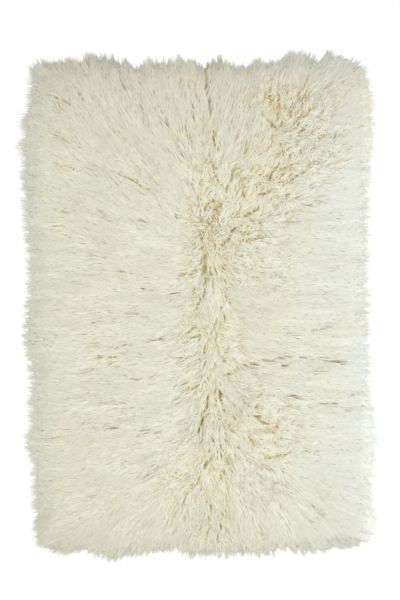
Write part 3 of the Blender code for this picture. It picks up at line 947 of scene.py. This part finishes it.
class Nodes:
    """A short way to write a material's nodes."""

    # A Mix node's sockets for its factor, its two colours and its result.
    FACTOR, FIRST, SECOND, RESULT = 0, 6, 7, 2

    def __init__(self, name):
        self.material = bpy.data.materials.new(name)
        self.material.use_nodes = True
        self.tree = self.material.node_tree
        self.shader = self.tree.nodes["Principled BSDF"]

    def add(self, kind, **settings):
        """A node with its settings, where a setting of a socket is given by the socket's name."""
        node = self.tree.nodes.new(kind)
        for key, value in settings.items():
            if hasattr(node, key):
                setattr(node, key, value)
            else:
                node.inputs[key.replace("_", " ")].default_value = value
        return node

    def join(self, source, target):
        """Links an output to an input."""
        self.tree.links.new(source, target)

    def attribute(self, name):
        """What the mesh holds under a name at each point."""
        return self.add("ShaderNodeAttribute", attribute_name=name).outputs["Fac"]

    def place(self):
        """Where each point is on the rug."""
        return self.add("ShaderNodeTexCoord").outputs["Object"]

    def split(self, place):
        """A place as its three coordinates."""
        node = self.add("ShaderNodeSeparateXYZ")
        self.join(place, node.inputs["Vector"])
        return node.outputs

    def noise(self, place, **settings):
        """The value of a noise texture at a place."""
        texture = self.add("ShaderNodeTexNoise", **settings)
        self.join(place, texture.inputs["Vector"])
        return texture.outputs["Fac"]

    def share(self, value, low, high):
        """How far a value is on its way from low to high, from 0 to 1."""
        node = self.add("ShaderNodeMapRange", From_Min=low, From_Max=high)
        self.join(value, node.inputs["Value"])
        return node.outputs["Result"]

    def mixed(self, factor, first, second, blend="MIX"):
        """The colour between two colours, or of one laid over the other."""
        node = self.add("ShaderNodeMix", data_type="RGBA", blend_type=blend)
        for value, socket in ((factor, self.FACTOR), (first, self.FIRST), (second, self.SECOND)):
            if isinstance(value, bpy.types.NodeSocket):
                self.join(value, node.inputs[socket])
            else:
                node.inputs[socket].default_value = value
        return node.outputs[self.RESULT]

    def varied(self, colour, factor, tones):
        """The colour times what lies between two tones."""
        return self.mixed(1.0, colour, self.mixed(factor, *tones), "MULTIPLY")

    def tinted(self, colour, factor, tone):
        """The colour, turned by a factor towards itself times a tone."""
        return self.mixed(factor, colour, self.mixed(1.0, colour, tone, "MULTIPLY"))

    def finished(self, colour, height, strength, distance, **finish):
        """The material with a colour, a bump of some strength and depth from a height, and the
        values of the shader's own sockets, given by their names."""
        self.join(colour, self.shader.inputs["Base Color"])
        bump = self.add("ShaderNodeBump", Strength=strength, Distance=distance)
        self.join(height, bump.inputs["Height"])
        self.join(bump.outputs["Normal"], self.shader.inputs["Normal"])
        return self.plain(**finish)

    def plain(self, **finish):
        """The material with the values of the shader's own sockets, given by their names."""
        for key, value in finish.items():
            self.shader.inputs[key.replace("_", " ")].default_value = value
        return self.material


# Where light and shade are painted on the wool and the felted bed. Both ends are painted duller
# and darker than the middle, as shade where the light falls off, the right half is painted cooler, as
# under a cool light from that side, and the rim is painted paler and cooler all round, as light
# showing through its thin edge.
PAINTED_LIGHT_TONES = (
    # axis, where the tone begins, where it is full, the tone as a factor for red, green and blue
    ("Y", 0.55, 0.98, (0.93, 0.90, 0.88)),
    ("Y", 0.93, 1.02, (0.95, 0.985, 1.015)),
    ("Y", 1.00, 1.05, (1.05, 1.055, 1.06)),
    ("Y", -0.70, -0.96, (0.985, 0.97, 0.955)),
    ("Y", -0.97, -1.03, (1.0, 1.035, 1.06)),
    ("X", -0.58, -0.71, (1.02, 1.045, 1.085)),
    ("X", 0.67, 0.74, (1.22, 1.23, 1.27)),
    ("X", 0.20, 0.66, (1.015, 1.04, 1.13)),
)

# Tones that a colour is multiplied by: the darkest and the lightest lock, which span each lock's own tone,
# painted light on ruffled pile and painted shade at the rim and in the partings; the darkest and the
# lightest fibres of a lock, warm patches, the tangle of the felted wool, and the fuzz on the yarn.
LOCK_TONES_AND_PAINTED_SHADE = ((0.43, 0.43, 0.36, 1.0), (1.12, 1.12, 1.11, 1.0))
FIBRE_TONES = ((0.935, 0.925, 0.90, 1.0), (1.02, 1.02, 1.02, 1.0))
WARM_TONE = (1.0, 0.98, 0.93, 1.0)
TANGLE_TONES = ((0.90, 0.89, 0.85, 1.0), (1.06, 1.06, 1.05, 1.0))
FUZZ_TONES = ((0.85, 0.85, 0.85, 1.0), (1.0, 1.0, 1.0, 1.0))
DARKEST_SHADE, LIGHTEST_SHADE = -6.0, 1.0  # the locks' own shades that the lock tones stand for
FIBRES = (24.0, 1.2, 1.0)  # how finely a lock is streaked across it and along it

# Shares of the root's and of the tip's colour in the felted wool where it is bare and where it isn't,
# where the bare wool is the roots' tan painted darker, as shade in the gaps, and how dark the yarn is
# painted where it passes under, as shade.
BARE_ROOT_WITH_SHADE = 0.75
COVERED_ROOT, COVERED_TIP = 0.04, 0.96
UNDER_YARN_SHADE = 0.72


def with_painted_light(nodes, place, colour):
    """The colour with the light and shade painted on it from place to place."""
    station = nodes.split(place)
    for axis, begin, full, tone in PAINTED_LIGHT_TONES:
        colour = nodes.tinted(colour, nodes.share(station[axis], begin, full), (*tone, 1.0))
    return colour


def wool_material(pile):
    """Undyed wool: tan down by the roots, creamy at the tips, uneven from lock to lock, with light and
    shade painted on it from place to place and from lock to lock.
    """
    nodes = Nodes("undyed_wool")
    place = nodes.place()
    colour = nodes.mixed(nodes.attribute("cream"), tuple(pile.root_colour), tuple(pile.tip_colour))
    warm = nodes.share(nodes.noise(place, Scale=5.0, Detail=3.0), 0.45, 0.65)
    # Light and shade painted on from place to place.
    colour = with_painted_light(nodes, place, nodes.tinted(colour, warm, WARM_TONE))
    # Each lock's own tone, with painted light on ruffled pile and painted shade at the rim and in the
    # partings.
    light = nodes.share(nodes.attribute("shade"), DARKEST_SHADE, LIGHTEST_SHADE)
    colour = nodes.varied(colour, light, LOCK_TONES_AND_PAINTED_SHADE)

    fibres = nodes.add("ShaderNodeUVMap", uv_map="Fibres").outputs["UV"]
    stretch = nodes.add("ShaderNodeMapping", Scale=FIBRES)
    nodes.join(fibres, stretch.inputs["Vector"])
    streaks = nodes.noise(stretch.outputs["Vector"], Scale=1.0, Detail=4.0, Roughness=0.6)
    return nodes.finished(nodes.varied(colour, streaks, FIBRE_TONES), streaks, 0.2, 0.4 * MM,
                          Roughness=0.85, Specular_IOR_Level=0.2, Sheen_Weight=0.15,
                          Sheen_Roughness=0.5)


def bed_material(pile):
    """The felted wool that the roots stand in: creamy under the combed pile, tan where it is bare, painted
    darker there as shade in the gaps, with light and shade painted on from place to place.
    """
    nodes = Nodes("felted_wool")
    place = nodes.place()
    tangle = nodes.noise(place, Scale=170.0, Detail=5.0, Roughness=0.65, Distortion=1.5)
    # The roots' tan, painted darker as shade in the gaps.
    tan = tuple(BARE_ROOT_WITH_SHADE * root for root in pile.root_colour)
    cream = tuple(COVERED_ROOT * root + COVERED_TIP * tip
                  for root, tip in zip(pile.root_colour, pile.tip_colour))
    # Light and shade painted on from place to place.
    colour = with_painted_light(nodes, place, nodes.mixed(nodes.attribute("bare"), cream, tan))
    colour = nodes.varied(colour, nodes.share(tangle, 0.35, 0.65), TANGLE_TONES)
    return nodes.finished(colour, tangle, 0.6, 2.0 * MM, Roughness=0.95, Specular_IOR_Level=0.1)


def cloth_material(cloth):
    """Plain-woven wool: yarns that pass over and under each other, with painted shade where they pass
    under.
    """
    nodes = Nodes("ground_weave")
    place = nodes.place()
    station = nodes.split(place)
    weave = nodes.add("ShaderNodeMath", operation="MULTIPLY")
    for axis, socket in zip("XY", weave.inputs):
        turned = nodes.add("ShaderNodeMath", operation="MULTIPLY")
        turned.inputs[1].default_value = math.pi / cloth.yarn_pitch
        nodes.join(station[axis], turned.inputs[0])
        wave = nodes.add("ShaderNodeMath", operation="SINE")
        nodes.join(turned.outputs[0], wave.inputs[0])
        nodes.join(wave.outputs[0], socket)
    over = nodes.share(weave.outputs[0], -1.0, 1.0)
    # Painted shade where a yarn passes under its neighbour.
    under = tuple(UNDER_YARN_SHADE * c for c in cloth.colour[:3]) + (1.0,)
    fuzz = nodes.noise(place, Scale=400.0, Detail=3.0)
    colour = nodes.varied(nodes.mixed(over, under, tuple(cloth.colour)), fuzz, FUZZ_TONES)
    return nodes.finished(colour, over, 0.8, 1.0 * MM, Roughness=0.95)


def floor_material(stage):
    """A plain pale floor."""
    return Nodes("pale_floor").plain(Base_Color=tuple(stage.floor_colour), Roughness=0.9,
                                     Specular_IOR_Level=0.1)


def piece_of_rug(name, mesh, material):
    """A mesh as a piece that rides with the rug, in the wool's finish, in place of the plain solid."""
    mesh.materials.append(material)
    piece = bpy.data.objects.new(name, mesh)
    bpy.context.scene.collection.objects.link(piece)
    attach(piece, "root")
    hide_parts("shag_rug")
    return piece


# The pile is kept as six pieces: where the roots of each begin and end, across the rug and along it.
PILE_PIECES = (
    # name, left, right, foot, head
    ("pile_head", -1000, 1000, 645, 2000),
    ("pile_foot", -1000, 1000, -2000, -630),
    ("pile_left", -1000, -235, -630, 645),
    ("pile_middle_head", -235, 265, 0, 645),
    ("pile_middle_foot", -235, 265, -630, 0),
    ("pile_right", 265, 1000, -630, 645),
)


class SHAGRUG_OT_pile(bpy.types.Operator):
    """Knots the long pile into the ground cloth and combs it"""

    bl_idname = "shagrug.pile"
    bl_label = "Pile"

    def execute(self, context):
        pile, cloth = context.scene.shag_pile, context.scene.shag_cloth
        chance = np.random.default_rng(pile.seed)
        lay = Lay(chance, pile, cloth)
        sets = []

        def knot(spacing, margin, where, rings, **manner):
            """Roots locks a spacing apart where the test holds, and lays them."""
            across, along = shares_in_no_rows(chance, cloth.width, cloth.length, spacing)
            roots = on_cloth(across, along, cloth, margin)
            sets.append(Locks(lay, chance, roots[where(roots)], rings, **manner))

        knot(pile.combed_spacing, LOCK_MARGIN, lambda places: ruffle(places) <= CURLY_FROM, COMBED_RINGS)
        knot(pile.curly_spacing, LOCK_MARGIN, lambda places: ruffle(places) > CURLY_FROM, CURLY_RINGS)
        knot(pile.fill_spacing, FILL_MARGIN, lambda places: ruffle(places) > FILL_FROM, FINE_RINGS,
             reach=FILL_REACH, turn=FILL_TURN, cream=FILL_CREAM)
        knot(pile.wisp_spacing, WISP_MARGIN, lambda places: inset(places) < OVERHANG + WISP_BAND,
             FINE_RINGS, width=WISP_WIDTH, turn=WISP_TURN, ends=(WISP_INSET, WISP_SLACK))
        material = wool_material(pile)
        for name, left, right, foot, head in PILE_PIECES:
            chosen = []
            for locks in sets:
                x, y = locks.path[:, 0].real / MM, locks.path[:, 0].imag / MM
                chosen.append(locks.some((x >= left) & (x < right) & (y >= foot) & (y < head)))
            piece_of_rug(name, joined(name, chosen), material)
        return {"FINISHED"}


class SHAGRUG_OT_bed(bpy.types.Operator):
    """Felts the wool that fills the pile from the ground cloth up"""

    bl_idname = "shagrug.bed"
    bl_label = "Felted Bed"

    def execute(self, context):
        pile, cloth = context.scene.shag_pile, context.scene.shag_cloth
        heights = height_field()

        def top(places):
            """The height of the bed, which thins towards its rim and sinks in the partings."""
            full = np.maximum(heights(places) - cloth.thickness, 0)
            inwards = eased(((inset(places) - OVERHANG - BED_MARGIN) / BED_ROLL).clip(0, 1))
            share = unruly(BED_SHARE, np.maximum(ruffle(places), 0)) * between((BED_RIM, 1.0), inwards)
            return cloth.thickness + share * (1 - BED_DEPTH * creased(places)) * full

        bottom = cloth.thickness + CLEARANCE
        mesh = layer_mesh("pile_bed", BED_FACES, cloth, BED_MARGIN, bottom, top)
        corners = np.empty(3 * len(mesh.vertices))
        mesh.vertices.foreach_get("co", corners)
        places = corners[::3] + 1j * corners[1::3]
        mark_points(mesh, "bare", np.maximum(BARE_SHARE * ruffle(places), creased(places)))
        piece_of_rug("pile_bed", mesh, bed_material(pile))
        return {"FINISHED"}


class SHAGRUG_OT_ground_cloth(bpy.types.Operator):
    """Weaves the ground cloth that the pile is knotted through"""

    bl_idname = "shagrug.ground_cloth"
    bl_label = "Ground Cloth"

    def execute(self, context):
        cloth = context.scene.shag_cloth
        mesh = layer_mesh("ground_cloth", CLOTH_FACES, cloth, 0.0, 0.0,
                          lambda places: np.full(places.shape, cloth.thickness))
        piece = piece_of_rug("ground_cloth", mesh, cloth_material(cloth))
        return {"FINISHED"}


# The stage: the height of the floor, the place, the side and the colour of each softbox, and the
# colour of the even light from all round.
FLOOR_HEIGHT = -0.2 * MM
CEILING_LIGHT = ((0.3, -0.3, 6.0), 2.0, (1.0, 1.0, 1.0))
KEY_LIGHT = ((4.2, -0.6, 2.8), 4.0, (0.90, 0.97, 1.0))
SKY_COLOUR = (0.98, 0.99, 1.0, 1.0)


def softbox(name, power, place, size, colour):
    """A square area light that faces the middle of the rug."""
    light = bpy.data.objects.new(name, bpy.data.lights.new(name, "AREA"))
    light.data.shape = "SQUARE"
    light.data.size = size
    light.data.energy = power
    light.data.color = colour
    light.location = place
    light.rotation_euler = (-Vector(place)).to_track_quat("-Z", "Y").to_euler()
    light.visible_camera = False
    bpy.context.scene.collection.objects.link(light)


class SHAGRUG_OT_stage(bpy.types.Operator):
    """Lays the floor, and sets up the softboxes, the sky and the camera"""

    bl_idname = "shagrug.stage"
    bl_label = "Stage"

    def execute(self, context):
        stage = context.scene.shag_stage
        bpy.ops.mesh.primitive_plane_add(size=stage.floor_size, location=(0, 0, FLOOR_HEIGHT))
        floor = context.object
        floor.name = "floor"
        floor.data.materials.append(floor_material(stage))

        softbox("ceiling", stage.ceiling_power, *CEILING_LIGHT)
        softbox("key", stage.key_power, *KEY_LIGHT)
        sky = bpy.data.worlds.new("sky")
        sky.use_nodes = True
        background = sky.node_tree.nodes["Background"]
        background.inputs["Color"].default_value = SKY_COLOUR
        background.inputs["Strength"].default_value = stage.sky_strength
        context.scene.world = sky
        context.scene.view_settings.view_transform = "Standard"

        camera = bpy.data.objects.new("camera", bpy.data.cameras.new("camera"))
        camera.data.lens = stage.lens
        camera.data.sensor_width = SENSOR / MM
        camera.location = (*PICTURE_MIDDLE, PICTURE_HEIGHT * stage.lens * MM / SENSOR)
        context.scene.collection.objects.link(camera)
        context.scene.camera = camera
        return {"FINISHED"}


class SHAGRUG_PT_panel(bpy.types.Panel):
    """Lists the steps in the order that they are run"""

    bl_idname = "SHAGRUG_PT_panel"
    bl_label = "Shag Rug"
    bl_space_type = "VIEW_3D"
    bl_region_type = "UI"
    bl_category = "Shag Rug"

    def draw(self, context):
        groups = (
            (context.scene.shag_pile, PileSettings, (SHAGRUG_OT_pile, SHAGRUG_OT_bed)),
            (context.scene.shag_cloth, ClothSettings, (SHAGRUG_OT_ground_cloth,)),
            (context.scene.shag_stage, StageSettings, (SHAGRUG_OT_stage,)),
        )
        for settings, group, operators in groups:
            box = self.layout.box()
            for field in group.__annotations__:
                box.prop(settings, field)
            for operator in operators:
                box.operator(operator.bl_idname)


CLASSES = (
    PileSettings, ClothSettings, StageSettings, SHAGRUG_OT_pile, SHAGRUG_OT_bed,
    SHAGRUG_OT_ground_cloth, SHAGRUG_OT_stage, SHAGRUG_PT_panel,
)


def register():
    for cls in CLASSES:
        bpy.utils.register_class(cls)
    bpy.types.Scene.shag_pile = bpy.props.PointerProperty(type=PileSettings)
    bpy.types.Scene.shag_cloth = bpy.props.PointerProperty(type=ClothSettings)
    bpy.types.Scene.shag_stage = bpy.props.PointerProperty(type=StageSettings)


def unregister():
    del bpy.types.Scene.shag_stage, bpy.types.Scene.shag_cloth, bpy.types.Scene.shag_pile
    for cls in reversed(CLASSES):
        bpy.utils.unregister_class(cls)


def main():
    register()
    bpy.ops.shagrug.pile()
    bpy.ops.shagrug.bed()
    bpy.ops.shagrug.ground_cloth()
    bpy.ops.shagrug.stage()


if __name__ == "__main__":
    main()
